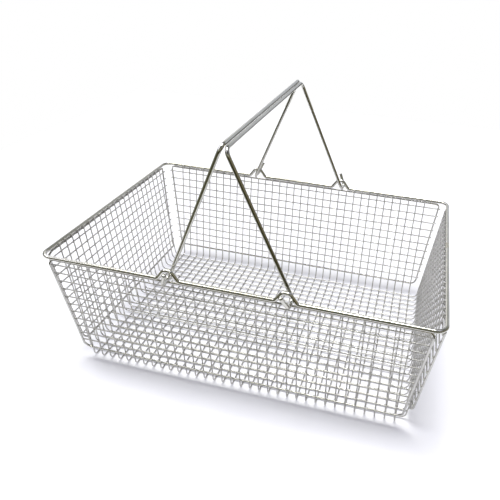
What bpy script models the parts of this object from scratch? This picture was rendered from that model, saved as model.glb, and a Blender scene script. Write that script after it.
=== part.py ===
"""Stainless wire sterilization basket with two folding bail handles.

The mesh is spot-welded wire folded up into a floor and four flared walls. Front-to-back
wires run down the front wall, along the floor and up the back wall; end-to-end wires do
the same between the two end walls and lie on top of them on the floor. Straight wires
cross each wall on the outside, a rounded border wire frames it, and a thick rim rod
joins the four walls. The rim rises in four humps that hold the hooks of the two bails,
which lean on each other when raised. X runs along the basket, Y to the back, Z up; the
origin is on the ground under the middle of the floor.
"""
import math

import bmesh
import bpy
from mathutils import Vector

# Wire and rod sizes, in metres
MESH_PITCH = 0.0127
MESH_WIRE = 0.0018
BORDER_WIRE = 0.0028
ROD = 0.0048
WELD_GAP = 0.0003
WELD_SINK = 0.0006

# Mesh counts
FRONT_TO_BACK_COUNT = 34
END_TO_END_COUNT = 22
WALL_ROWS = 11

# Floor and walls
FLOOR_EDGE_LONG = 0.0106
FLOOR_EDGE_END = 0.0122
FLOOR_BEND = 0.007
FLARE_LONG = math.radians(5.9)
FLARE_END = math.radians(6.4)
BORDER_RISE = 0.019
BORDER_TOP_MARGIN = 0.0079
CORNER_GAP_LONG = 0.0072
CORNER_GAP_END = 0.009
BORDER_TOP_BEND = 0.006
BORDER_BOTTOM_BEND = 0.010
WIRE_END_OVERHANG = 0.0018
TIP_OVERLAP = 0.0006

# Rim rod
RIM_CORNER_BEND = 0.0127
HUMP_CENTRE = 0.0714
HUMP_FOOT = 0.0262
HUMP_TOP = 0.0086
HUMP_RISE = 0.0125
HUMP_BEND = 0.0062

# Bail handles
PIVOT_OUTSET = 0.0036
HOOK_BEND = 0.009
HOOK_INSET = 0.0082
HOOK_OPENING = math.radians(30)
STUB_LENGTH = 0.0176
BAIL_LENGTH = 0.183
GRIP_LEAN = 0.0038
GRIP_BEND = 0.009

# Smoothness: segments in each bend; each section step adds two sides to a wire's four
MESH_BEND_STEPS = 3
BORDER_BEND_STEPS = 4
ROD_BEND_STEPS = 5
MESH_SECTION_STEPS = 1
ROD_SECTION_STEPS = 2
CAP_WELD_DISTANCE = 0.000001

# Heights and seats worked out from the sizes above
MESH_FLAT_SHARE = math.cos(math.pi / (4 + 2 * MESH_SECTION_STEPS))
FLOOR_Z = MESH_WIRE / 2 * MESH_FLAT_SHARE
UPPER_FLOOR_Z = FLOOR_Z + MESH_WIRE + WELD_GAP
ROW_OUT = MESH_WIRE + WELD_GAP
SUNK_ROW_OUT = MESH_WIRE - WELD_SINK
BORDER_RUN_OUT = (MESH_WIRE + BORDER_WIRE) / 2 + WELD_GAP
BORDER_SIDE_OUT = ROW_OUT + BORDER_RUN_OUT
RIM_OUT = (MESH_WIRE + ROD) / 2 + WELD_GAP
RIM_TO_BORDER = (ROD + BORDER_WIRE) / 2 + WELD_GAP
RIM_ABOVE_RUN = math.sqrt(RIM_TO_BORDER ** 2 - (RIM_OUT - BORDER_RUN_OUT) ** 2)
FIRST_ROW = BORDER_RISE + MESH_PITCH
LAST_ROW = BORDER_RISE + MESH_PITCH * WALL_ROWS
STEP_LOW = FIRST_ROW - (MESH_WIRE + BORDER_WIRE) / 2
STEP_HIGH = LAST_ROW + (MESH_WIRE + BORDER_WIRE) / 2
LONG_TOP_RUN = LAST_ROW + BORDER_TOP_MARGIN
RIM_Z = (FLOOR_Z + (LONG_TOP_RUN + RIM_ABOVE_RUN) * math.cos(FLARE_LONG)
         - RIM_OUT * math.sin(FLARE_LONG))
HUMP_END = HUMP_CENTRE + HUMP_FOOT / 2
PIVOT_X = HUMP_CENTRE + PIVOT_OUTSET
PIVOT_Z = RIM_Z + WELD_GAP


class Wall:
    """One flared wall: a place on it is given along it, up its slope and out from it.

    Its upright wires stand at zero out.
    """

    def __init__(self, name, axis, side, edge, flare, corner_gap):
        self.name = name
        self.axis = axis
        self.side = side
        self.edge = edge
        self.flare = flare
        self.corner_gap = corner_gap

    def reach(self, up, out):
        """Horizontal distance from the basket's middle."""
        return self.edge + up * math.sin(self.flare) + out * math.cos(self.flare)

    def height(self, up, out):
        return FLOOR_Z + up * math.cos(self.flare) - out * math.sin(self.flare)

    def up_at(self, height, out):
        """Distance up the slope of a place at this height."""
        return (height - FLOOR_Z + out * math.sin(self.flare)) / math.cos(self.flare)

    def point(self, along, up, out):
        reach = self.side * self.reach(up, out)
        height = self.height(up, out)
        if self.axis == "Y":
            return Vector((along, reach, height))
        return Vector((reach, along, height))


def half_span(count):
    """Half the width of a row of evenly pitched wires."""
    return (count - 1) / 2 * MESH_PITCH


LONG_EDGE = half_span(END_TO_END_COUNT) + FLOOR_EDGE_LONG
END_EDGE = half_span(FRONT_TO_BACK_COUNT) + FLOOR_EDGE_END
FRONT = Wall("front", "Y", -1, LONG_EDGE, FLARE_LONG, CORNER_GAP_LONG)
BACK = Wall("back", "Y", 1, LONG_EDGE, FLARE_LONG, CORNER_GAP_LONG)
LEFT = Wall("left", "X", -1, END_EDGE, FLARE_END, CORNER_GAP_END)
RIGHT = Wall("right", "X", 1, END_EDGE, FLARE_END, CORNER_GAP_END)
NEIGHBOUR = {"front": RIGHT, "back": RIGHT, "left": BACK, "right": BACK}

RIM_HALF_WIDTH = BACK.reach(BACK.up_at(RIM_Z, RIM_OUT), RIM_OUT)
RIM_HALF_LENGTH = RIGHT.reach(RIGHT.up_at(RIM_Z, RIM_OUT), RIM_OUT)


def clear_scene():
    for old in list(bpy.data.objects):
        bpy.data.objects.remove(old, do_unlink=True)


def new_collection(name):
    collection = bpy.data.collections.new(name)
    bpy.context.scene.collection.children.link(collection)
    return collection


def steel(name, colour, roughness):
    material = bpy.data.materials.new(name)
    material.use_nodes = True
    shader = material.node_tree.nodes["Principled BSDF"]
    shader.inputs["Base Color"].default_value = (*colour, 1.0)
    shader.inputs["Metallic"].default_value = 1.0
    shader.inputs["Roughness"].default_value = roughness
    return material


def rounded_path(corners, bends, steps, closed=False):
    """Points through the corners, each corner rounded to an arc of its own radius."""
    points = []
    count = len(corners)
    for index, corner in enumerate(corners):
        at_end = not closed and index in (0, count - 1)
        if at_end or bends[index] == 0:
            points.append(corner)
            continue
        before = (corners[index - 1] - corner).normalized()
        after = (corners[(index + 1) % count] - corner).normalized()
        half_angle = before.angle(after) / 2
        middle = (before + after).normalized()
        centre = corner + middle * (bends[index] / math.sin(half_angle))
        start = corner + before * (bends[index] / math.tan(half_angle)) - centre
        turn = math.pi - 2 * half_angle
        axis = start.cross(-before).normalized()
        side = axis.cross(start)
        for step in range(steps + 1):
            angle = turn * step / steps
            points.append(centre + start * math.cos(angle) + side * math.sin(angle))
    return points


def wire(name, paths, thickness, section, material, collection, origin=None, closed=False):
    """A curve object of round wire along each path, with its origin where asked."""
    origin = origin or Vector()
    curve = bpy.data.curves.new(name, "CURVE")
    curve.dimensions = "3D"
    curve.twist_mode = "MINIMUM"
    curve.bevel_depth = thickness / 2
    curve.bevel_resolution = section
    curve.use_fill_caps = True
    for path in paths:
        spline = curve.splines.new("POLY")
        spline.points.add(len(path) - 1)
        for place, point in zip(spline.points, path):
            place.co = (*(point - origin), 1.0)
        spline.use_cyclic_u = closed
        spline.use_smooth = True
    curve.materials.append(material)
    body = bpy.data.objects.new(name, curve)
    body.location = origin
    collection.objects.link(body)
    return body


def as_mesh(body, collection):
    """The curve object turned into a mesh object with its end caps welded on."""
    bpy.context.view_layer.update()
    graph = bpy.context.evaluated_depsgraph_get()
    mesh = bpy.data.meshes.new_from_object(body.evaluated_get(graph))
    cleaner = bmesh.new()
    cleaner.from_mesh(mesh)
    bmesh.ops.remove_doubles(cleaner, verts=cleaner.verts, dist=CAP_WELD_DISTANCE)
    cleaner.to_mesh(mesh)
    cleaner.free()
    name = body.name
    place = body.matrix_world.copy()
    bpy.data.objects.remove(body, do_unlink=True)
    solid = bpy.data.objects.new(name, mesh)
    solid.matrix_world = place
    collection.objects.link(solid)
    return solid


def weld(body, other):
    """Join another solid to this one for good, as a spot weld does."""
    joint = body.modifiers.new(other.name, "BOOLEAN")
    joint.operation = "UNION"
    joint.object = other
    other.hide_render = True
    other.display_type = "WIRE"


def tip_height(wall, along):
    """How far up the wall a mesh wire's cut end reaches.

    Under and between the humps of a long wall it stops at the border wire, so that the
    hooks have their room; elsewhere it laps the inner side of the rim rod.
    """
    rim_up = wall.up_at(RIM_Z, RIM_OUT)
    if wall.axis == "Y" and abs(along) < HUMP_END:
        return rim_up - RIM_ABOVE_RUN + BORDER_WIRE / 2
    return rim_up + TIP_OVERLAP


def folded_wire(near, far, along, floor_z):
    """Path of one mesh wire: down a wall, along the floor and up the facing wall."""
    lift = floor_z - FLOOR_Z
    corners = [
        near.point(along, tip_height(near, along), 0),
        near.point(along, lift / math.cos(near.flare), 0),
        far.point(along, lift / math.cos(far.flare), 0),
        far.point(along, tip_height(far, along), 0),
    ]
    return rounded_path(corners, [0, FLOOR_BEND, FLOOR_BEND, 0], MESH_BEND_STEPS)


def side_run(wall, up):
    """Where the border's side run stands at this height on the wall."""
    neighbour = NEIGHBOUR[wall.name]
    height = wall.height(up, BORDER_SIDE_OUT)
    return neighbour.reach(neighbour.up_at(height, 0), 0) - wall.corner_gap


def row_path(wall, row, out):
    """A straight wall wire, whose cut ends stand a little past the border wire."""
    up = BORDER_RISE + MESH_PITCH * (WALL_ROWS + 1 - row)
    end = side_run(wall, up) + BORDER_WIRE / 2 + WIRE_END_OVERHANG
    return [wall.point(-end, up, out), wall.point(end, up, out)]


def border_top(wall):
    """How far up the wall the border's top run lies, just under the rim rod."""
    return wall.up_at(RIM_Z, RIM_OUT) - RIM_ABOVE_RUN


def border_out(up, top):
    """How far out from the uprights the border lies at this place up the wall.

    Its side runs step out over the ends of the straight wires.
    """
    share = min((up - BORDER_RISE) / (STEP_LOW - BORDER_RISE), (top - up) / (top - STEP_HIGH))
    share = max(0.0, min(1.0, share))
    return BORDER_RUN_OUT + (BORDER_SIDE_OUT - BORDER_RUN_OUT) * share


def border_path(wall):
    """Closed border: its top and bottom runs lie on the mesh, its side runs on wire ends."""
    top = border_top(wall)
    side = [(BORDER_RISE, BORDER_BOTTOM_BEND), (FIRST_ROW, 0), (LAST_ROW, 0),
            (top, BORDER_TOP_BEND)]
    corners = [Vector((side_run(wall, up), up, 0)) for up, bend in side]
    corners += [Vector((-corner.x, corner.y, 0)) for corner in reversed(corners)]
    bends = [bend for up, bend in side]
    outline = rounded_path(corners, bends + bends[::-1], BORDER_BEND_STEPS, closed=True)
    return [wall.point(place.x, place.y, border_out(place.y, top)) for place in outline]


def hump_corners(centre, y, direction):
    """Corners of one hump of the rim rod, in the order of travel along X."""
    outline = [(-HUMP_FOOT / 2, 0), (-HUMP_TOP / 2, HUMP_RISE),
               (HUMP_TOP / 2, HUMP_RISE), (HUMP_FOOT / 2, 0)]
    return [Vector((centre + direction * x, y, RIM_Z + rise)) for x, rise in outline]


def rim_path():
    """The rim rod: a rounded rectangle with two humps on each long side."""
    corners = []
    bends = []
    for side, direction in ((-1, 1), (1, -1)):
        y = side * RIM_HALF_WIDTH
        corners.append(Vector((-direction * RIM_HALF_LENGTH, y, RIM_Z)))
        bends.append(RIM_CORNER_BEND)
        for centre in (-direction * HUMP_CENTRE, direction * HUMP_CENTRE):
            corners.extend(hump_corners(centre, y, direction))
            bends.extend([HUMP_BEND] * 4)
        corners.append(Vector((direction * RIM_HALF_LENGTH, y, RIM_Z)))
        bends.append(RIM_CORNER_BEND)
    return rounded_path(corners, bends, ROD_BEND_STEPS, closed=True)


def grip_places():
    """Middles of the left and right grips, which touch a little left of the middle.

    The right bail leans past the middle by the lean, and the left one, which is as long,
    rests against it.
    """
    touching = ROD + WELD_GAP
    right_x = touching / 2 - GRIP_LEAN
    right_z = PIVOT_Z + math.sqrt(BAIL_LENGTH ** 2 - (PIVOT_X - right_x) ** 2)
    across = right_x + PIVOT_X
    rise = right_z - PIVOT_Z
    reach = math.hypot(across, rise)
    apart = math.acos((BAIL_LENGTH ** 2 + reach ** 2 - touching ** 2) / (2 * BAIL_LENGTH * reach))
    angle = math.atan2(rise, across) + apart
    left = Vector((math.cos(angle) * BAIL_LENGTH - PIVOT_X, 0,
                   math.sin(angle) * BAIL_LENGTH + PIVOT_Z))
    return left, Vector((right_x, 0, right_z))


def bail_path(pivot, grip):
    """A bail in its raised place: stub, hook, leg, grip, leg, hook and stub.

    Each hook is left open, so that its stub leans outward from the leg.
    """
    up = (grip - pivot).normalized()
    leg_y = RIM_HALF_WIDTH - HOOK_INSET
    past_bottom = HOOK_BEND * math.tan((math.pi / 2 - HOOK_OPENING) / 2)
    turn_y = leg_y + HOOK_BEND + past_bottom
    stub = past_bottom + STUB_LENGTH
    outline = [(stub * math.cos(HOOK_OPENING), turn_y + stub * math.sin(HOOK_OPENING)),
               (0, turn_y), (0, leg_y), (BAIL_LENGTH, leg_y)]
    half = [pivot + up * along + Vector((0, y, 0)) for along, y in outline]
    mirrored = [Vector((point.x, -point.y, point.z)) for point in reversed(half)]
    bends = [0, HOOK_BEND, HOOK_BEND, GRIP_BEND]
    return rounded_path(half + mirrored, bends + bends[::-1], ROD_BEND_STEPS)


def build_mesh_wires(name, near, far, count, floor_z, material, parts, welded):
    """All folded wires of one direction, joined by the top straight wire of each wall."""
    span = half_span(count)
    places = [index * MESH_PITCH - span for index in range(count)]
    paths = [folded_wire(near, far, along, floor_z) for along in places]
    mesh = as_mesh(wire(name, paths, MESH_WIRE, MESH_SECTION_STEPS, material, parts), parts)
    for wall in (near, far):
        path = row_path(wall, 1, SUNK_ROW_OUT)
        top = wire(wall.name + "_top_wire", [path], MESH_WIRE, MESH_SECTION_STEPS, material, welded)
        weld(mesh, as_mesh(top, welded))
    return mesh


def build_wall(wall, mesh_steel, border_steel, parts):
    """The loose straight wires of a wall and its border."""
    for row in range(2, WALL_ROWS + 1):
        name = "%s_wire_%02d" % (wall.name, row)
        wire(name, [row_path(wall, row, ROW_OUT)], MESH_WIRE, MESH_SECTION_STEPS, mesh_steel, parts)
    wire(wall.name + "_border", [border_path(wall)], BORDER_WIRE, MESH_SECTION_STEPS,
         border_steel, parts, closed=True)


def build_bail(name, side, grip, material, parts):
    """A bail with its origin on its hinge line, under the humps that hold its hooks."""
    pivot = Vector((side * PIVOT_X, 0, PIVOT_Z))
    wire(name, [bail_path(pivot, grip)], ROD, ROD_SECTION_STEPS, material, parts, origin=pivot)


clear_scene()
parts = new_collection("sterilization_basket")
welded = new_collection("welded_wires")
mesh_steel = steel("mesh_steel", (0.55, 0.55, 0.53), 0.28)
border_steel = steel("border_steel", (0.50, 0.50, 0.47), 0.25)
rod_steel = steel("rod_steel", (0.48, 0.48, 0.42), 0.18)

build_mesh_wires("front_to_back_wires", FRONT, BACK, FRONT_TO_BACK_COUNT, FLOOR_Z,
                 mesh_steel, parts, welded)
build_mesh_wires("end_to_end_wires", LEFT, RIGHT, END_TO_END_COUNT, UPPER_FLOOR_Z,
                 mesh_steel, parts, welded)
for each_wall in (FRONT, BACK, LEFT, RIGHT):
    build_wall(each_wall, mesh_steel, border_steel, parts)
wire("rim_rod", [rim_path()], ROD, ROD_SECTION_STEPS, rod_steel, parts, closed=True)
left_grip, right_grip = grip_places()
build_bail("left_bail", -1, left_grip, rod_steel, parts)
build_bail("right_bail", 1, right_grip, rod_steel, parts)
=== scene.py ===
import math

import bpy
import numpy as np
from mathutils import Matrix, Vector


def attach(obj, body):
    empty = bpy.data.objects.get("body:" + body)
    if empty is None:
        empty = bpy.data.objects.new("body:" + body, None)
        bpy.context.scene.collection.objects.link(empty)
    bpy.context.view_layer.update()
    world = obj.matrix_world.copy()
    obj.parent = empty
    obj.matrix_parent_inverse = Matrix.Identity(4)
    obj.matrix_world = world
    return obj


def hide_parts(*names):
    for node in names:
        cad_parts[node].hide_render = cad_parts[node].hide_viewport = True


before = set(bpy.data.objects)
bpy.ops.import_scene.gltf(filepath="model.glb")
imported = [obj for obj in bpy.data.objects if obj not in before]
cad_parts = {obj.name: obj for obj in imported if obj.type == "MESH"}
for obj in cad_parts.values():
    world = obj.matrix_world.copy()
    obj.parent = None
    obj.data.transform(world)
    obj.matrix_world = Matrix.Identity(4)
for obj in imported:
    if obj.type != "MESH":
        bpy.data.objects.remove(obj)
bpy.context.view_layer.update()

# Front-to-back mesh wires. Thirty-four straight lengths of drawn stainless wire, folded twice,
# so that each one runs down the front wall, under the floor and up the back wall. Their ends
# are sheared off just inside the rim rod and rounded a little by the electropolishing bath.
MESH_PITCH = 0.0127
MESH_WIRE = 0.0018
BORDER_WIRE = 0.0028
ROD = 0.0048
WELD_GAP = 0.0003
FRONT_TO_BACK_COUNT = 34
END_TO_END_COUNT = 22
WALL_ROWS = 11
FLOOR_EDGE_LONG = 0.0106
FLOOR_EDGE_END = 0.0122
FLOOR_BEND = 0.007
FLARE_LONG = math.radians(5.9)
FLARE_END = math.radians(6.4)
CAD_FLOOR_Z = MESH_WIRE / 2 * math.cos(math.pi / 6)
BORDER_RISE = 0.019
LAST_ROW = BORDER_RISE + MESH_PITCH * WALL_ROWS
BORDER_TOP_MARGIN = 0.0079
CORNER_GAP_LONG = 0.0072
CORNER_GAP_END = 0.009
BORDER_RUN_OUT = (MESH_WIRE + BORDER_WIRE) / 2 + WELD_GAP
RIM_OUT = (MESH_WIRE + ROD) / 2 + WELD_GAP
RIM_TO_BORDER = (ROD + BORDER_WIRE) / 2 + WELD_GAP
RIM_ABOVE_RUN = math.sqrt(RIM_TO_BORDER ** 2 - (RIM_OUT - BORDER_RUN_OUT) ** 2)
RIM_Z = (CAD_FLOOR_Z + (LAST_ROW + BORDER_TOP_MARGIN + RIM_ABOVE_RUN) * math.cos(FLARE_LONG)
         - RIM_OUT * math.sin(FLARE_LONG))
HUMP_CENTRE = 0.0714
HUMP_FOOT = 0.0262
TIP_OVERLAP = 0.0006
MESH_SIDES = 12
MESH_BEND_STEPS = 8
CUT_CHAMFER = 0.00025
STATION_MARGIN = 0.0006
LONG_RUN_SHARE = 0.25


class Wall:
    """A flared wall. A place on it is given along it, up its slope and out from its uprights."""

    def __init__(self, name, axis, side, edge, flare, corner_gap):
        self.name, self.axis, self.side = name, axis, side
        self.edge, self.flare, self.corner_gap = edge, flare, corner_gap

    def reach(self, up, out):
        return self.edge + up * math.sin(self.flare) + out * math.cos(self.flare)

    def height(self, up, out):
        return CAD_FLOOR_Z + up * math.cos(self.flare) - out * math.sin(self.flare)

    def up_at(self, height, out):
        return (height - CAD_FLOOR_Z + out * math.sin(self.flare)) / math.cos(self.flare)

    def point(self, along, up, out):
        reach, height = self.side * self.reach(up, out), self.height(up, out)
        return Vector((along, reach, height) if self.axis == "Y" else (reach, along, height))


def half_span(count):
    return (count - 1) / 2 * MESH_PITCH


LONG_EDGE = half_span(END_TO_END_COUNT) + FLOOR_EDGE_LONG
END_EDGE = half_span(FRONT_TO_BACK_COUNT) + FLOOR_EDGE_END
FRONT = Wall("front", "Y", -1, LONG_EDGE, FLARE_LONG, CORNER_GAP_LONG)
BACK = Wall("back", "Y", 1, LONG_EDGE, FLARE_LONG, CORNER_GAP_LONG)
LEFT = Wall("left", "X", -1, END_EDGE, FLARE_END, CORNER_GAP_END)
RIGHT = Wall("right", "X", 1, END_EDGE, FLARE_END, CORNER_GAP_END)


def rounded_path(corners, bends, steps, closed=False):
    """Points through the corners, each corner rounded to an arc of its own radius."""
    points = []
    count = len(corners)
    for index, corner in enumerate(corners):
        if bends[index] == 0 or (not closed and index in (0, count - 1)):
            points.append(corner)
            continue
        before = (corners[index - 1] - corner).normalized()
        after = (corners[(index + 1) % count] - corner).normalized()
        half_angle = before.angle(after) / 2
        centre = corner + (before + after).normalized() * (bends[index] / math.sin(half_angle))
        start = corner + before * (bends[index] / math.tan(half_angle)) - centre
        turn = math.pi - 2 * half_angle
        side = start.cross(-before).normalized().cross(start)
        for step in range(steps + 1):
            angle = turn * step / steps
            points.append(centre + start * math.cos(angle) + side * math.sin(angle))
    return points


def run_lengths(path):
    """Distance along the path to each of its points."""
    steps = np.linalg.norm(np.diff(np.array(path), axis=0), axis=1)
    return np.concatenate([[0.0], np.cumsum(steps)])


def ringed(path, stations, radii, margin, closed):
    """The same wire with a ring added near each end of every long straight length.

    These keep the roundness of a bend or a cut end from shading the straight beside it.
    """
    points = [(place, station, radius) for place, station, radius in zip(path, stations, radii)]
    if closed:
        length = stations[-1] + np.linalg.norm(path[0] - path[-1])
        points.append((path[0], length, radii[0]))
    found = [points[0]]
    for here, after in zip(points, points[1:]):
        share = margin / np.linalg.norm(after[0] - here[0])
        if share < LONG_RUN_SHARE:
            found.extend(tuple(a + (b - a) * at for a, b in zip(here, after))
                         for at in (share, 1 - share))
        found.append(after)
    return [np.array(column) for column in zip(*(found[:-1] if closed else found))]


def wire_piece(name, wires, thickness, sides, material, closed=False, cut=CUT_CHAMFER,
               body="basket"):
    """One mesh of round wires that ride on one body.

    Each wire is its path, a direction square to its bends, and the place of each path point
    on the straight wire before it was bent. Those straight-wire coordinates are kept as the
    attribute "drawn", so that the drawing marks and the weld rings, brown heat tint with
    painted contact shade, follow the bent wire.
    """
    verts, faces, drawn = [], [], []
    turn = np.arange(sides) * (2 * math.pi / sides)
    cos, sin = np.cos(turn)[:, None], np.sin(turn)[:, None]
    section = np.hstack([cos, sin]) * thickness / 2
    for path, across, stations in wires:
        path, stations = np.array(path, float), np.array(stations, float)
        radii = np.full(len(path), thickness / 2)
        if not closed:
            for end, inner in ((0, 1), (-1, -2)):
                share = cut / np.linalg.norm(path[inner] - path[end])
                place = path[end] + (path[inner] - path[end]) * share
                station = stations[end] + (stations[inner] - stations[end]) * share
                at = 1 if end == 0 else len(path) - 1
                path = np.insert(path, at, place, axis=0)
                stations = np.insert(stations, at, station)
                radii = np.insert(radii, at, thickness / 2)
            radii[0] = radii[-1] = thickness / 2 - cut
        length = stations[-1] if not closed else stations[-1] + np.linalg.norm(path[0] - path[-1])
        path, stations, radii = ringed(path, stations, radii, thickness / 2, closed)
        if closed:
            ahead, behind = np.roll(path, -1, 0), np.roll(path, 1, 0)
        else:
            ahead, behind = np.vstack([path[1:], path[-1:]]), np.vstack([path[:1], path[:-1]])
        into, out_of = path - behind, ahead - path
        for part in (into, out_of):
            size = np.linalg.norm(part, axis=1, keepdims=True)
            part /= np.where(size == 0, 1, size)
        tangent = into + out_of
        tangent /= np.linalg.norm(tangent, axis=1, keepdims=True)
        first = np.array(across, float) - tangent * (tangent @ np.array(across, float))[:, None]
        first /= np.linalg.norm(first, axis=1, keepdims=True)
        second = np.cross(tangent, first)
        base = len(verts)
        count = len(path)
        for ring in range(count):
            offset = radii[ring] * (cos * first[ring] + sin * second[ring])
            verts.extend((path[ring] + offset).tolist())
        for ring in range(count if closed else count - 1):
            after = (ring + 1) % count
            low, high = stations[ring], stations[after] if after else length
            for side in range(sides):
                beside = (side + 1) % sides
                faces.append((base + ring * sides + side, base + ring * sides + beside,
                              base + after * sides + beside, base + after * sides + side))
                drawn.extend([(*section[side], low), (*section[beside], low),
                              (*section[beside], high), (*section[side], high)])
        if not closed:
            faces.append(tuple(base + side for side in reversed(range(sides))))
            drawn.extend([(*section[side], stations[0]) for side in reversed(range(sides))])
            last = base + (count - 1) * sides
            faces.append(tuple(last + side for side in range(sides)))
            drawn.extend([(*section[side], stations[-1]) for side in range(sides)])
    mesh = bpy.data.meshes.new(name)
    mesh.from_pydata(verts, [], faces)
    mesh.polygons.foreach_set("use_smooth", [True] * len(faces))
    attribute = mesh.attributes.new("drawn", "FLOAT_VECTOR", "CORNER")
    attribute.data.foreach_set("vector", np.array(drawn, np.float32).ravel())
    mesh.materials.append(material)
    mesh.update()
    piece = bpy.data.objects.new(name, mesh)
    bpy.context.scene.collection.objects.link(piece)
    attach(piece, body)
    return piece


def add_node(tree, kind, settings=(), **inputs):
    """A shader node with its settings and inputs. An input given a socket is linked."""
    made = tree.nodes.new(kind)
    for key, value in dict(settings).items():
        setattr(made, key, value)
    for key, value in inputs.items():
        socket = made.inputs[int(key[1:]) if key[0] == "_" else key.replace("_", " ")]
        if isinstance(value, bpy.types.NodeSocket):
            tree.links.new(value, socket)
        else:
            socket.default_value = value
    return made


def spread(tree, value, low, high, least=0.0, most=1.0):
    """A value spread from one range onto another with soft ends."""
    return add_node(tree, "ShaderNodeMapRange", {"interpolation_type": "SMOOTHSTEP"}, Value=value,
                    From_Min=low, From_Max=high, To_Min=least, To_Max=most).outputs[0]


def blended(tree, share, under, over):
    """One colour laid over another by a share."""
    return add_node(tree, "ShaderNodeMix", {"data_type": "RGBA"}, _0=share, _6=under,
                    _7=over).outputs[2]


def reckon(tree, kind, *values):
    """The result of one arithmetic step."""
    inputs = {"_%d" % index: value for index, value in enumerate(values)}
    return add_node(tree, "ShaderNodeMath", {"operation": kind}, **inputs).outputs[0]


CLOUD_SCALE = 38.0
GRAIN_SCALE = 900.0
DRAW_MARK_SCALE = (2600.0, 2600.0, 70.0)
GRIND_MARK_SCALE = (500.0, 500.0, 9000.0)
MARK_CONTRAST = (0.3, 0.7)
MARK_DEPTH = 0.00002
MARK_STRENGTH = 0.25
# Weld rings: brown heat tint plus painted contact shade round every wire crossing.
WELD_TINT_AND_SHADE_REACH = (0.0007, 0.0026)
WELD_TINT_AND_SHADE = (0.16, 0.12, 0.07, 1)
GROUND_REACH = (0.0026, 0.0044)
GROUND_ROUGHER = 0.14
STRAW_REACH = (0.0045, 0.0085)
STRAW_SHARE = 0.35
STRAW = (0.52, 0.46, 0.33, 1)
RUBBED_REACH = (0.006, 0.014)
RUBBED_STEEL = (0.74, 0.735, 0.71, 1)
RUBBED_SMOOTHER = 0.45


def steel_finish(name, dull, bright, roughness, draw_marks, tint_and_shade_share=0.0, ground_at=None,
                 rubbed_at=None):
    """Electropolished stainless steel, drawn along its length.

    It may be darkened at the spot weld of every pitch, with brown heat tint and painted contact
    shade, ground across at the station where its two ends are joined, or rubbed bright round
    the places at this distance from the middle.
    """
    material = bpy.data.materials.new(name)
    material.use_nodes = True
    tree = material.node_tree
    shader = tree.nodes["Principled BSDF"]
    drawn = add_node(tree, "ShaderNodeAttribute", {"attribute_name": "drawn"}).outputs["Vector"]
    place = add_node(tree, "ShaderNodeTexCoord").outputs["Object"]
    station = add_node(tree, "ShaderNodeSeparateXYZ", Vector=drawn).outputs["Z"]
    cloud = add_node(tree, "ShaderNodeTexNoise", Vector=place, Scale=CLOUD_SCALE, Detail=3.0)
    grain = add_node(tree, "ShaderNodeTexNoise", Vector=place, Scale=GRAIN_SCALE, Detail=2.0)
    stretched = add_node(tree, "ShaderNodeMapping", Vector=drawn, Scale=DRAW_MARK_SCALE)
    marks = add_node(tree, "ShaderNodeTexNoise", Vector=stretched.outputs["Vector"], Scale=1.0,
                     Detail=2.0).outputs["Fac"]
    metal = blended(tree, cloud.outputs["Fac"], (*dull, 1), (*bright, 1))
    satin = add_node(tree, "ShaderNodeMapRange", Value=marks, From_Min=MARK_CONTRAST[0],
                     From_Max=MARK_CONTRAST[1], To_Min=roughness[0],
                     To_Max=roughness[1]).outputs[0]
    # Darker rings at every weld crossing: partly heat tint, partly painted shade where the crossing
    # wires shade each other.
    if tint_and_shade_share:
        apart = reckon(tree, "PINGPONG", station, MESH_PITCH / 2)
        near = spread(tree, apart, WELD_TINT_AND_SHADE_REACH[1], WELD_TINT_AND_SHADE_REACH[0], 0.0, tint_and_shade_share)
        weld_tint_and_shade_mask = reckon(tree, "MULTIPLY", near, grain.outputs["Fac"])
        metal = blended(tree, weld_tint_and_shade_mask, metal, WELD_TINT_AND_SHADE)
        satin = reckon(tree, "ADD", satin, weld_tint_and_shade_mask)
    if ground_at is not None:
        apart = reckon(tree, "ABSOLUTE", reckon(tree, "SUBTRACT", station, ground_at))
        band = spread(tree, apart, GROUND_REACH[1], GROUND_REACH[0])
        across = add_node(tree, "ShaderNodeMapping", Vector=drawn, Scale=GRIND_MARK_SCALE)
        scratches = add_node(tree, "ShaderNodeTexNoise", Vector=across.outputs["Vector"],
                             Scale=1.0, Detail=2.0).outputs["Fac"]
        elsewhere = reckon(tree, "MULTIPLY", marks, reckon(tree, "SUBTRACT", 1.0, band))
        marks = reckon(tree, "MULTIPLY_ADD", scratches, band, elsewhere)
        satin = reckon(tree, "MULTIPLY_ADD", band, GROUND_ROUGHER, satin)
        straw = spread(tree, apart, STRAW_REACH[1], STRAW_REACH[0], 0.0, STRAW_SHARE)
        metal = blended(tree, straw, metal, STRAW)
    if rubbed_at is not None:
        folded = add_node(tree, "ShaderNodeVectorMath", {"operation": "ABSOLUTE"}, _0=place)
        away = add_node(tree, "ShaderNodeVectorMath", {"operation": "DISTANCE"},
                        _0=folded.outputs["Vector"], _1=rubbed_at).outputs["Value"]
        near = spread(tree, away, RUBBED_REACH[1], RUBBED_REACH[0])
        rub = reckon(tree, "MULTIPLY", near, grain.outputs["Fac"])
        metal = blended(tree, rub, metal, RUBBED_STEEL)
        satin = reckon(tree, "MULTIPLY", satin, spread(tree, rub, 0.0, 1.0, 1.0, RUBBED_SMOOTHER))
    height = reckon(tree, "MULTIPLY_ADD", marks, draw_marks, grain.outputs["Fac"])
    bump = add_node(tree, "ShaderNodeBump", Strength=MARK_STRENGTH, Distance=MARK_DEPTH,
                    Height=height)
    shader.inputs["Metallic"].default_value = 1.0
    tree.links.new(metal, shader.inputs["Base Color"])
    tree.links.new(satin, shader.inputs["Roughness"])
    tree.links.new(bump.outputs["Normal"], shader.inputs["Normal"])
    return material


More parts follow.
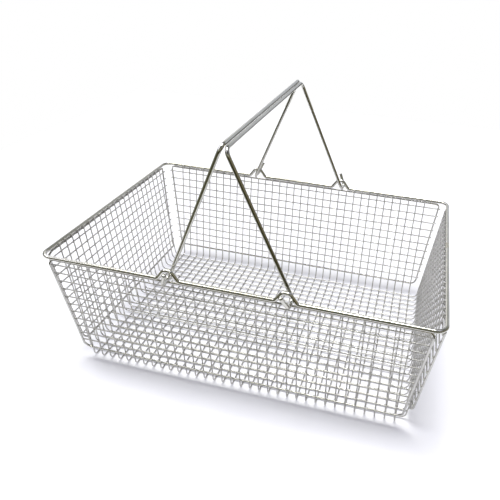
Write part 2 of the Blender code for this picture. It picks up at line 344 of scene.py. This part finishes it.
# The mesh wire carries the weld rings of heat tint and painted contact shade.
mesh_steel = steel_finish("electropolished_mesh_wire", dull=(0.44, 0.433, 0.415),
                          bright=(0.585, 0.58, 0.56), roughness=(0.20, 0.34), draw_marks=1.6,
                          tint_and_shade_share=0.14)


def tip_height(wall, along):
    """How far up the wall a wire's cut end stands: at the border wire where a hook needs room."""
    rim_up = wall.up_at(RIM_Z, RIM_OUT)
    if wall.axis == "Y" and abs(along) < HUMP_CENTRE + HUMP_FOOT / 2:
        return rim_up - RIM_ABOVE_RUN + BORDER_WIRE / 2
    return rim_up + TIP_OVERLAP


def folded_wire(near, far, along, floor_z, cross_count):
    """Path and stations of a wire that runs down one wall, along the floor and up the other.

    A station is a whole number of pitches wherever another wire is welded across.
    """
    inset = near.edge - half_span(cross_count) + STATION_MARGIN
    across = Vector((1, 0, 0)) if near.axis == "Y" else Vector((0, 1, 0))
    path, stations = [], []
    for wall in (near, far):
        lift = (floor_z - CAD_FLOOR_Z) / math.cos(wall.flare)
        foot = wall.point(along, lift, 0)
        inward = Vector((0, -wall.side, 0)) if wall.axis == "Y" else Vector((-wall.side, 0, 0))
        corners = [wall.point(along, tip_height(wall, along), 0),
                   wall.point(along, BORDER_RISE - STATION_MARGIN, 0),
                   foot, foot + inward * inset]
        half = rounded_path(corners, [0, 0, FLOOR_BEND, 0], MESH_BEND_STEPS)
        lengths = run_lengths(half)
        knots = [0, lengths[1], lengths[-1]]
        values = [tip_height(wall, along) - BORDER_RISE, -STATION_MARGIN,
                  STATION_MARGIN - MESH_PITCH]
        marks = np.interp(lengths, knots, values)
        if wall is near:
            path, stations = list(half), list(marks)
        else:
            path += reversed(half)
            stations += list(-marks - MESH_PITCH * (cross_count + 1))[::-1]
    return path, across, stations


front_to_back = [folded_wire(FRONT, BACK, index * MESH_PITCH - half_span(FRONT_TO_BACK_COUNT),
                             MESH_WIRE / 2, END_TO_END_COUNT)
                 for index in range(FRONT_TO_BACK_COUNT)]
piece = wire_piece("mesh_wires_front_to_back", front_to_back, MESH_WIRE, MESH_SIDES, mesh_steel)
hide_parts("front_to_back_wires")

# End-to-end mesh wires. Twenty-two wires of the same kind, folded up the two end walls. On the
# floor they lie across the front-to-back wires and are spot-welded to every one of them.
ROW_OUT = MESH_WIRE + WELD_GAP

end_to_end = [folded_wire(LEFT, RIGHT, index * MESH_PITCH - half_span(END_TO_END_COUNT),
                          MESH_WIRE / 2 + ROW_OUT, FRONT_TO_BACK_COUNT)
              for index in range(END_TO_END_COUNT)]
piece = wire_piece("mesh_wires_end_to_end", end_to_end, MESH_WIRE, MESH_SIDES, mesh_steel)
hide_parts("end_to_end_wires")

# Straight wall wires. Eleven on each wall, cut to length and spot-welded across the outside of
# the uprights. Their sheared ends stand a wire's thickness past the border wire.
WIRE_END_OVERHANG = 0.0018
BORDER_SIDE_OUT = ROW_OUT + BORDER_RUN_OUT
NEIGHBOUR = {"front": RIGHT, "back": RIGHT, "left": BACK, "right": BACK}


def side_run(wall, up):
    """Where the border's side run stands along the wall at this height."""
    neighbour = NEIGHBOUR[wall.name]
    height = wall.height(up, BORDER_SIDE_OUT)
    return neighbour.reach(neighbour.up_at(height, 0), 0) - wall.corner_gap


for wall in (FRONT, BACK, LEFT, RIGHT):
    for row in range(1, WALL_ROWS + 1):
        up = BORDER_RISE + MESH_PITCH * (WALL_ROWS + 1 - row)
        end = side_run(wall, up) + BORDER_WIRE / 2 + WIRE_END_OVERHANG
        path = [wall.point(-end, up, ROW_OUT), wall.point(end, up, ROW_OUT)]
        stations = [-end - MESH_PITCH / 2, end - MESH_PITCH / 2]
        piece = wire_piece("%s_row_%02d" % (wall.name, row), [(path, (0, 0, 1), stations)],
                           MESH_WIRE, MESH_SIDES, mesh_steel)
        if row > 1:
            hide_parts("%s_wire_%02d" % (wall.name, row))

# Border wires. A heavier wire frames each wall, bent round at its four corners: its top and
# bottom runs are welded to the uprights, and its side runs step out over the row ends. Each
# is one length, its ends butt-welded and ground flush at one end of the top run.
BORDER_TOP_BEND = 0.006
BORDER_BOTTOM_BEND = 0.010
BORDER_BEND_STEPS = 10
BORDER_SIDES = 16
JOGGLE_STEPS = 6
FIRST_ROW = BORDER_RISE + MESH_PITCH
STEP_LOW = FIRST_ROW - (MESH_WIRE + BORDER_WIRE) / 2
STEP_HIGH = LAST_ROW + (MESH_WIRE + BORDER_WIRE) / 2
BORDER_WELD_AT = 0.16

border_steel = steel_finish("electropolished_border_wire", dull=(0.46, 0.455, 0.43),
                            bright=(0.62, 0.615, 0.59), roughness=(0.16, 0.28),
                            draw_marks=1.3, ground_at=BORDER_WELD_AT)


def border_top(wall):
    return wall.up_at(RIM_Z, RIM_OUT) - RIM_ABOVE_RUN


def border_out(up, top):
    """How far out the border lies here. It steps out smoothly over the rows' ends."""
    share = min((up - BORDER_RISE) / (STEP_LOW - BORDER_RISE), (top - up) / (top - STEP_HIGH))
    share = max(0.0, min(1.0, share))
    share = share * share * (3 - 2 * share)
    return BORDER_RUN_OUT + (BORDER_SIDE_OUT - BORDER_RUN_OUT) * share


def border_path(wall):
    top = border_top(wall)
    side = [(BORDER_RISE, BORDER_BOTTOM_BEND), (FIRST_ROW, 0), (LAST_ROW, 0),
            (top, BORDER_TOP_BEND)]
    corners = [Vector((side_run(wall, up), up, 0)) for up, bend in side]
    corners += [Vector((-corner.x, corner.y, 0)) for corner in reversed(corners)]
    bends = [bend for up, bend in side]
    outline = rounded_path(corners, bends + bends[::-1], BORDER_BEND_STEPS, closed=True)
    return [wall.point(place.x, place.y, border_out(place.y, top)) for place in outline]


for wall in (FRONT, BACK, LEFT, RIGHT):
    path = border_path(wall)
    square = (wall.point(0, 0, 1) - wall.point(0, 0, 0)).normalized()
    piece = wire_piece(wall.name + "_border_wire", [(path, square, run_lengths(path))],
                       BORDER_WIRE, BORDER_SIDES, border_steel, closed=True)
    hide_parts(wall.name + "_border")

# Spot welds. At every crossing the two wires were pressed together and fused, which leaves a
# small squeezed-out nugget between them. The border and the rim rod are held the same way.
NUGGET_ACROSS = 0.00092
NUGGET_DEEP = 0.00048
BORDER_NUGGET_STRETCH = 1.3
NUGGET_SIDES = 8
NUGGET_RINGS = 4


def nuggets(name, spots, material):
    """A mesh of small flattened beads, each given by its centre and three half-axes."""
    unit = [(0, 0, 1)]
    for ring in range(1, NUGGET_RINGS):
        polar = math.pi * ring / NUGGET_RINGS
        for side in range(NUGGET_SIDES):
            turn = 2 * math.pi * side / NUGGET_SIDES
            unit.append((math.sin(polar) * math.cos(turn), math.sin(polar) * math.sin(turn),
                         math.cos(polar)))
    unit.append((0, 0, -1))
    unit = np.array(unit)
    last = len(unit) - 1
    template = []
    for side in range(NUGGET_SIDES):
        beside = (side + 1) % NUGGET_SIDES
        template.append((0, 1 + side, 1 + beside))
        template.append((last, last - NUGGET_SIDES + beside, last - NUGGET_SIDES + side))
        for ring in range(NUGGET_RINGS - 2):
            here, below = 1 + ring * NUGGET_SIDES, 1 + (ring + 1) * NUGGET_SIDES
            template.append((here + side, below + side, below + beside, here + beside))
    verts, faces = [], []
    for centre, *axes in spots:
        frame_axes = np.array([tuple(axis) for axis in axes])
        if np.linalg.det(frame_axes) < 0:
            frame_axes[0] *= -1
        base = len(verts)
        verts.extend((np.array(centre) + unit @ frame_axes).tolist())
        faces.extend(tuple(base + corner for corner in face) for face in template)
    mesh = bpy.data.meshes.new(name)
    mesh.from_pydata(verts, [], faces)
    mesh.polygons.foreach_set("use_smooth", [True] * len(faces))
    mesh.materials.append(material)
    piece = bpy.data.objects.new(name, mesh)
    bpy.context.scene.collection.objects.link(piece)
    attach(piece, "basket")


weld_steel = steel_finish("weld_nugget_steel", dull=(0.425, 0.415, 0.395),
                          bright=(0.56, 0.55, 0.53), roughness=(0.28, 0.40), draw_marks=0.4)
columns = [index * MESH_PITCH - half_span(FRONT_TO_BACK_COUNT)
           for index in range(FRONT_TO_BACK_COUNT)]
ranks = [index * MESH_PITCH - half_span(END_TO_END_COUNT) for index in range(END_TO_END_COUNT)]
axes = (Vector((NUGGET_ACROSS, 0, 0)), Vector((0, NUGGET_ACROSS, 0)), Vector((0, 0, NUGGET_DEEP)))
nuggets("floor_spot_welds", [(Vector((x, y, (MESH_WIRE + ROW_OUT) / 2)), *axes)
                             for x in columns for y in ranks], weld_steel)
for wall in (FRONT, BACK, LEFT, RIGHT):
    origin = wall.point(0, 0, 0)
    beside = (wall.point(1, 0, 0) - origin) * NUGGET_ACROSS
    above = (wall.point(0, 1, 0) - origin) * NUGGET_ACROSS
    outward = (wall.point(0, 0, 1) - origin) * NUGGET_DEEP
    top = border_top(wall)
    spots = []
    for along in (columns if wall.axis == "Y" else ranks):
        for row in range(1, WALL_ROWS + 1):
            spots.append((wall.point(along, BORDER_RISE + MESH_PITCH * row, ROW_OUT / 2),
                          beside, above, outward))
        for up in (BORDER_RISE, top):
            spots.append((wall.point(along, up, ROW_OUT / 2),
                          beside, above * BORDER_NUGGET_STRETCH, outward))
        if tip_height(wall, along) > top + BORDER_WIRE:
            spots.append((wall.point(along, wall.up_at(RIM_Z, RIM_OUT), ROW_OUT / 2),
                          beside, above, outward))
    for row in range(1, WALL_ROWS + 1):
        up = BORDER_RISE + MESH_PITCH * row
        for end in (-1, 1):
            out = (ROW_OUT + border_out(up, top)) / 2 - (BORDER_WIRE - MESH_WIRE) / 4
            spots.append((wall.point(end * side_run(wall, up), up, out),
                          beside * BORDER_NUGGET_STRETCH, above, outward))
    nuggets(wall.name + "_wall_spot_welds", spots, weld_steel)

# Rim rod. One rod of bright stainless bent to a rounded rectangle, with two humps pressed up
# in each long side as eyes for the bail hooks, and its ends butt-welded and ground smooth. It is
# polished brighter than the mesh and rubbed where the hooks turn.
RIM_CORNER_BEND = 0.0127
HUMP_TOP = 0.0086
HUMP_RISE = 0.0125
HUMP_BEND = 0.0062
FRONT_HUMP_SHIFT = -0.002
BACK_HUMP_SHIFT = -0.0007
ROD_BEND_STEPS = 14
ROD_SIDES = 24
RIM_HALF_WIDTH = BACK.reach(BACK.up_at(RIM_Z, RIM_OUT), RIM_OUT)
RIM_HALF_LENGTH = RIGHT.reach(RIGHT.up_at(RIM_Z, RIM_OUT), RIM_OUT)
RIM_WELD_AT = 0.70

rod_steel = steel_finish("polished_rim_rod", dull=(0.50, 0.49, 0.44), bright=(0.66, 0.65, 0.60),
                         roughness=(0.10, 0.20), draw_marks=1.0, ground_at=RIM_WELD_AT,
                         rubbed_at=(HUMP_CENTRE, RIM_HALF_WIDTH, RIM_Z + HUMP_RISE / 2))

corners, bends = [], []
for side, direction, shift in ((-1, 1, FRONT_HUMP_SHIFT), (1, -1, BACK_HUMP_SHIFT)):
    y = side * RIM_HALF_WIDTH
    corners.append(Vector((-direction * RIM_HALF_LENGTH, y, RIM_Z)))
    bends.append(RIM_CORNER_BEND)
    for centre in (-direction * HUMP_CENTRE, direction * HUMP_CENTRE):
        for x, rise in ((-HUMP_FOOT / 2, 0), (-HUMP_TOP / 2, HUMP_RISE),
                        (HUMP_TOP / 2, HUMP_RISE), (HUMP_FOOT / 2, 0)):
            corners.append(Vector((centre + shift + direction * x, y, RIM_Z + rise)))
            bends.append(HUMP_BEND)
    corners.append(Vector((direction * RIM_HALF_LENGTH, y, RIM_Z)))
    bends.append(RIM_CORNER_BEND)
path = rounded_path(corners, bends, ROD_BEND_STEPS, closed=True)
piece = wire_piece("rim_rod_bright", [(path, (0, 0, 1), run_lengths(path))], ROD, ROD_SIDES,
                   rod_steel, closed=True)
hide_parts("rim_rod")

# Bail handles. Two equal bails of the same rod: each is bent square at its grip, runs down inside
# both long sides and out under the humps, and ends in open hooks that lean outward. Raised, the
# two lean on each other a little left of the middle.
PIVOT_OUTSET = 0.0036
HOOK_BEND = 0.009
HOOK_OUTER_BEND = 0.0065
HOOK_INSET = 0.0082
HOOK_REACH = 0.0182
HOOK_OPENING = math.radians(20.5)
STUB_LENGTH = 0.0211
BAIL_LENGTH = 0.183
GRIP_LEAN = 0.0038
GRIP_BEND = 0.009
ROD_CHAMFER = 0.0006
PIVOT_X = HUMP_CENTRE + PIVOT_OUTSET
PIVOT_Z = RIM_Z + WELD_GAP

bail_steel = steel_finish("polished_bail_rod", dull=(0.48, 0.475, 0.43),
                          bright=(0.64, 0.635, 0.59), roughness=(0.10, 0.22), draw_marks=1.0,
                          rubbed_at=(PIVOT_X, RIM_HALF_WIDTH, PIVOT_Z))

touching = ROD + WELD_GAP
right_x = touching / 2 - GRIP_LEAN
right_z = PIVOT_Z + math.sqrt(BAIL_LENGTH ** 2 - (PIVOT_X - right_x) ** 2)
reach = math.hypot(right_x + PIVOT_X, right_z - PIVOT_Z)
apart = math.acos((BAIL_LENGTH ** 2 + reach ** 2 - touching ** 2) / (2 * BAIL_LENGTH * reach))
lean = math.atan2(right_z - PIVOT_Z, right_x + PIVOT_X) + apart
grips = {"left": Vector((math.cos(lean) * BAIL_LENGTH - PIVOT_X, 0,
                         math.sin(lean) * BAIL_LENGTH + PIVOT_Z)),
         "right": Vector((right_x, 0, right_z))}
for end, side in (("left", -1), ("right", 1)):
    pivot = Vector((side * PIVOT_X, 0, PIVOT_Z))
    up = (grips[end] - pivot).normalized()
    leg_y = RIM_HALF_WIDTH - HOOK_INSET
    turn_y = leg_y + HOOK_REACH
    stub_rise = STUB_LENGTH * math.cos(HOOK_OPENING)
    stub_y = turn_y + STUB_LENGTH * math.sin(HOOK_OPENING)
    half = [pivot + up * along + Vector((0, y, 0))
            for along, y in ((stub_rise, stub_y), (0, turn_y), (0, leg_y), (BAIL_LENGTH, leg_y))]
    mirrored = [Vector((point.x, -point.y, point.z)) for point in reversed(half)]
    bends = [0, HOOK_OUTER_BEND, HOOK_BEND, GRIP_BEND]
    path = rounded_path(half + mirrored, bends + bends[::-1], ROD_BEND_STEPS)
    piece = wire_piece(end + "_bail_rod", [(path, up.cross(Vector((0, 1, 0))), run_lengths(path))],
                       ROD, ROD_SIDES, bail_steel, cut=ROD_CHAMFER,
                       body=end + "_bail")
    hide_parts(end + "_bail")

# Studio. A white paper table under an overhead softbox and a small warm key lamp, with weaker
# softboxes to its left and right. The polished rods reflect a dim room that has a lit panel
# high on the left, a pale wall and a faint window behind, and a warm band in front.
TABLE_LEFT, TABLE_RIGHT, TABLE_FRONT, TABLE_BACK = -0.9, 0.9, -0.37, 1.2
PAPER_WHITE = (0.86, 0.86, 0.918, 1)
PAPER_ROUGHNESS = 0.9
table_mesh = bpy.data.meshes.new("table_top")
table_mesh.from_pydata([(TABLE_LEFT, TABLE_FRONT, 0), (TABLE_RIGHT, TABLE_FRONT, 0),
                        (TABLE_RIGHT, TABLE_BACK, 0), (TABLE_LEFT, TABLE_BACK, 0)], [],
                       [(0, 1, 2, 3)])
paper = bpy.data.materials.new("white_table_paper")
paper.use_nodes = True
sheet = paper.node_tree.nodes["Principled BSDF"]
sheet.inputs["Base Color"].default_value = PAPER_WHITE
sheet.inputs["Roughness"].default_value = PAPER_ROUGHNESS
sheet.inputs["Specular IOR Level"].default_value = 0.0
table_mesh.materials.append(paper)
table = bpy.data.objects.new("table_top", table_mesh)
bpy.context.scene.collection.objects.link(table)

for name, place, strength, colour, width in (
        ("overhead_softbox", (-0.02, 0.02, 1.0), 1.62, (1.0, 1.0, 1.0), 22),
        ("key_lamp", (-0.12, 0.12, 1.0), 0.38, (1.0, 0.98, 0.80), 8),
        ("left_softbox", (-0.4, 0.04, 1.0), 0.95, (1.0, 1.0, 0.92), 22),
        ("right_softbox", (0.4, 0.0, 1.0), 0.22, (0.80, 0.80, 1.0), 22)):
    light = bpy.data.lights.new(name, "SUN")
    light.energy, light.color, light.angle = strength, colour, math.radians(width)
    lamp = bpy.data.objects.new(name, light)
    lamp.rotation_euler = (-Vector(place)).to_track_quat("-Z", "Y").to_euler()
    bpy.context.scene.collection.objects.link(lamp)


def ramp(tree, place, stops):
    """A colour ramp along a value, given as pairs of place and colour."""
    made = tree.nodes.new("ShaderNodeValToRGB")
    tree.links.new(place, made.inputs[0])
    points = made.color_ramp.elements
    while len(points) < len(stops):
        points.new(0.5)
    for point, (at, colour) in zip(points, stops):
        point.position = at
        point.color = (*colour, 1)
    return made.outputs["Color"]


SECTOR_EDGE = 0.12


def sector(tree, toward, away):
    """One where the gaze points more this way than aside, zero elsewhere."""
    lead = reckon(tree, "SUBTRACT", toward, reckon(tree, "ABSOLUTE", away))
    return spread(tree, lead, -SECTOR_EDGE, SECTOR_EDGE)


world = bpy.data.worlds.new("studio_room")
world.use_nodes = True
room = world.node_tree
gaze = add_node(room, "ShaderNodeTexCoord").outputs["Generated"]
rightward, backward, upward = add_node(room, "ShaderNodeSeparateXYZ", Vector=gaze).outputs
leftward, forward, downward = [reckon(room, "MULTIPLY", part, -1.0)
                               for part in (rightward, backward, upward)]
WINDOW_TOWARD = (-0.42, 0.81, 0.41)
WINDOW_EDGE = (0.958, 0.985)
WINDOW_GLOW = (1.35, 1.35, 1.35, 1)
BACKDROP = (1.0, 1.0, 1.0, 1)
NEAR_FLOOR = (0.235, 0.238, 0.17)
FAR_FLOOR = (0.054, 0.050, 0.024)
CEILING = (0.09, 0.09, 0.095)
LIT_PANEL = (3.15, 3.15, 3.45)
dim_wall = ramp(room, upward,
                [(0.0, (0.21, 0.18, 0.11)), (0.3, (0.29, 0.27, 0.18)), (0.5, (0.27, 0.26, 0.21)),
                 (0.72, (0.21, 0.215, 0.24)), (0.8, CEILING)])
front_wall = ramp(room, upward,
                  [(0.0, (0.11, 0.10, 0.07)), (0.22, (0.14, 0.13, 0.09)),
                   (0.30, (0.57, 0.575, 0.43)), (0.46, (0.55, 0.56, 0.46)),
                   (0.54, (0.12, 0.12, 0.14)), (0.72, (0.10, 0.10, 0.13)), (0.8, CEILING)])
back_wall = ramp(room, upward,
                 [(0.0, (0.69, 0.70, 0.80)), (0.45, (0.70, 0.73, 0.78)), (0.55, (0.37, 0.39, 0.38)),
                  (0.72, (0.34, 0.36, 0.36)), (0.8, CEILING)])
left_wall = ramp(room, upward,
                 [(0.0, (0.20, 0.21, 0.18)), (0.47, (0.23, 0.23, 0.22)), (0.53, LIT_PANEL),
                  (0.72, LIT_PANEL), (0.78, CEILING)])
walls = blended(room, sector(room, backward, rightward), dim_wall, back_wall)
walls = blended(room, sector(room, leftward, backward), walls, left_wall)
walls = blended(room, sector(room, forward, rightward), walls, front_wall)
toward_window = add_node(room, "ShaderNodeVectorMath", {"operation": "DOT_PRODUCT"}, _0=gaze,
                         _1=WINDOW_TOWARD).outputs["Value"]
walls = blended(room, spread(room, toward_window, *WINDOW_EDGE), walls, WINDOW_GLOW)
floor = ramp(room, downward, [(0.0, FAR_FLOOR), (0.48, FAR_FLOOR), (0.56, NEAR_FLOOR)])
floor = blended(room, sector(room, leftward, backward), floor, (*NEAR_FLOOR, 1))
around = blended(room, reckon(room, "GREATER_THAN", upward, 0.0), floor, walls)
to_camera = add_node(room, "ShaderNodeLightPath").outputs["Is Camera Ray"]
seen = blended(room, to_camera, around, BACKDROP)
room.links.new(seen, room.nodes["Background"].inputs["Color"])
bpy.context.scene.world = world
bpy.context.scene.view_settings.view_transform = "Standard"

# Camera, at the photograph's angle.
FOCAL_PIXELS = 513.82
FRAME_PIXELS = 500
SENSOR = 36.0
LENS_SHIFT = (-0.09796, -0.03618)
lens = bpy.data.cameras.new("photo_camera")
lens.sensor_width = SENSOR
lens.lens = FOCAL_PIXELS / FRAME_PIXELS * SENSOR
lens.shift_x, lens.shift_y = LENS_SHIFT
camera = bpy.data.objects.new("photo_camera", lens)
camera.matrix_world = Matrix(((0.96807, -0.15755, 0.19498, 0.1823),
                              (0.24667, 0.46024, -0.85284, -0.6118),
                              (0.04463, 0.8737, 0.48441, 0.5157),
                              (0, 0, 0, 1)))
bpy.context.scene.collection.objects.link(camera)
bpy.context.scene.camera = camera
